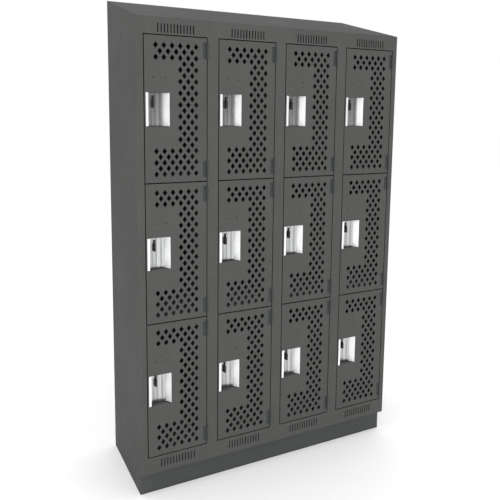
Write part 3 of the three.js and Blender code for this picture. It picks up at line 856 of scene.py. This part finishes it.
# ---- Coat hooks ----
def hook_mesh():
    """A single-prong coat hook for the left wall; the prong points into the locker."""
    bm = bmesh.new()
    box(bm, *HOOK_STRAP_X, *HOOK_STRAP_Y, *HOOK_STRAP_Z, HOOK_STRAP_EASE)
    rings = []
    for i, (x, z) in enumerate(HOOK_PATH):
        ahead = HOOK_PATH[min(i + 1, len(HOOK_PATH) - 1)]
        run = Vector(ahead) - Vector(HOOK_PATH[max(i - 1, 0)])
        across = Vector((-run.y, run.x)).normalized()
        ring = []
        for step in range(HOOK_SIDES):
            turn = 2 * math.pi * step / HOOK_SIDES
            spread = across * math.cos(turn) * HOOK_RADIUS
            ring.append(bm.verts.new((x + spread.x, math.sin(turn) * HOOK_RADIUS, z + spread.y)))
        rings.append(ring)
    skin_through(bm, rings)
    bm.faces.new(rings[0])
    bm.faces.new(rings[-1])
    return mesh_from("coat_hook", bm, HOOK_ANGLE)


hook = hook_mesh()
mirrored_hook = hook.copy()
mirrored_hook.transform(Matrix.Scale(-1, 4, (1, 0, 0)))
mirrored_hook.flip_normals()
hook_y = FACE_Y + HOOK_BACK * MM
for unit in range(1, UNITS + 1):
    left = BANK_LEFT + (unit - 1) * UNIT_WIDTH + HOOK_FROM_WALL_LINE * MM
    right = BANK_LEFT + unit * UNIT_WIDTH - HOOK_FROM_WALL_LINE * MM
    for tier, z in zip(TIERS, HOOK_HEIGHTS):
        for side, mesh, x in (("left", hook, left), ("right", mirrored_hook, right)):
            name = f"hook_{unit}_{tier}_{side}"
            finished(name, mesh, hook_zinc, "cabinet", (x, hook_y, z))


# ---- Floor, light and camera ----
FLOOR_REACH, FLOOR_DROP = 30000.0, 0.0005
DARK_FRONT = (0.14, 0.14, 0.14, 1.0)
FRONT_SPREAD, FRONT_HEIGHT_SQUARED = (0.25, 0.75), (0.05, 0.3)
SOFTBOXES = (
    # name, place, aim, size, watts
    ("front_softbox", (-3.9, -6.8, 3.4), (0.0, 0.0, 0.7), (2.9, 4.0), 270.0),
    ("top_softbox", (0.8, -2.4, 5.2), (0.0, 0.0, 1.0), (4.0, 2.5), 30.0),
)
CAMERA_YAW, CAMERA_PITCH, CAMERA_ROLL = 27.9, -7.53, 0.86
CAMERA_LEFT, CAMERA_AHEAD, CAMERA_HEIGHT = 0.630, 2.261, 1.598
LENS, LENS_SHIFT = 43.668, (-0.04, -0.124)


def floor():
    bm = bmesh.new()
    bmesh.ops.create_grid(bm, x_segments=4, y_segments=4, size=FLOOR_REACH)
    mesh = mesh_from("floor", bm)
    ground = bpy.data.objects.new("floor", mesh)
    bpy.context.scene.collection.objects.link(ground)
    mesh.materials.append(floor_finish())
    ground.location.z = -FLOOR_DROP


def area_light(name, place, aim, size, power):
    lamp = bpy.data.lights.new(name, "AREA")
    lamp.shape = "RECTANGLE"
    lamp.size, lamp.size_y = size
    lamp.energy = power
    holder = bpy.data.objects.new(name, lamp)
    bpy.context.scene.collection.objects.link(holder)
    holder.location = place
    holder.rotation_euler = (Vector(aim) - Vector(place)).to_track_quat("-Z", "Y").to_euler()


def studio():
    """White all round, darker low in front where only reflections and shading meet it."""
    world = bpy.data.worlds.new("studio")
    world.use_nodes = True
    sky = Sky(world)
    facing, height = sky.along("Y"), sky.along("Z")
    level = height * height
    front = (0.0 - facing).over(*FRONT_SPREAD) * (1.0 - level.over(*FRONT_HEIGHT_SQUARED))
    unseen = 1.0 - sky.add("ShaderNodeLightPath", {}, {}, out="Is Camera Ray")
    sky.set(Color=sky.blend(front * unseen, WHITE, DARK_FRONT))
    sky.shader.inputs["Strength"].default_value = 1.0
    bpy.context.scene.world = world
    for softbox in SOFTBOXES:
        area_light(*softbox)
    bpy.context.scene.view_settings.view_transform = "Standard"


def camera():
    """A standing viewer in front of the bank's left end, looking across it."""
    yaw, pitch, roll = (math.radians(a) for a in (CAMERA_YAW, CAMERA_PITCH, CAMERA_ROLL))
    level = math.cos(pitch)
    ahead = Vector((math.sin(yaw) * level, math.cos(yaw) * level, math.sin(pitch)))
    flat_right = Vector((math.cos(yaw), -math.sin(yaw), 0.0))
    flat_up = flat_right.cross(ahead)
    right = flat_right * math.cos(roll) + flat_up * math.sin(roll)
    up = flat_up * math.cos(roll) - flat_right * math.sin(roll)
    lens = bpy.data.cameras.new("camera")
    lens.sensor_width = 36.0
    lens.lens = LENS
    lens.shift_x, lens.shift_y = LENS_SHIFT
    lens.clip_end = 100.0
    stand = bpy.data.objects.new("camera", lens)
    bpy.context.scene.collection.objects.link(stand)
    place = Vector((BANK_LEFT - CAMERA_LEFT, FACE_Y - CAMERA_AHEAD, CAMERA_HEIGHT))
    axes = Matrix((right, up, -ahead)).transposed()
    stand.matrix_world = Matrix.Translation(place) @ axes.to_4x4()
    bpy.context.scene.camera = stand


floor()
studio()
camera()
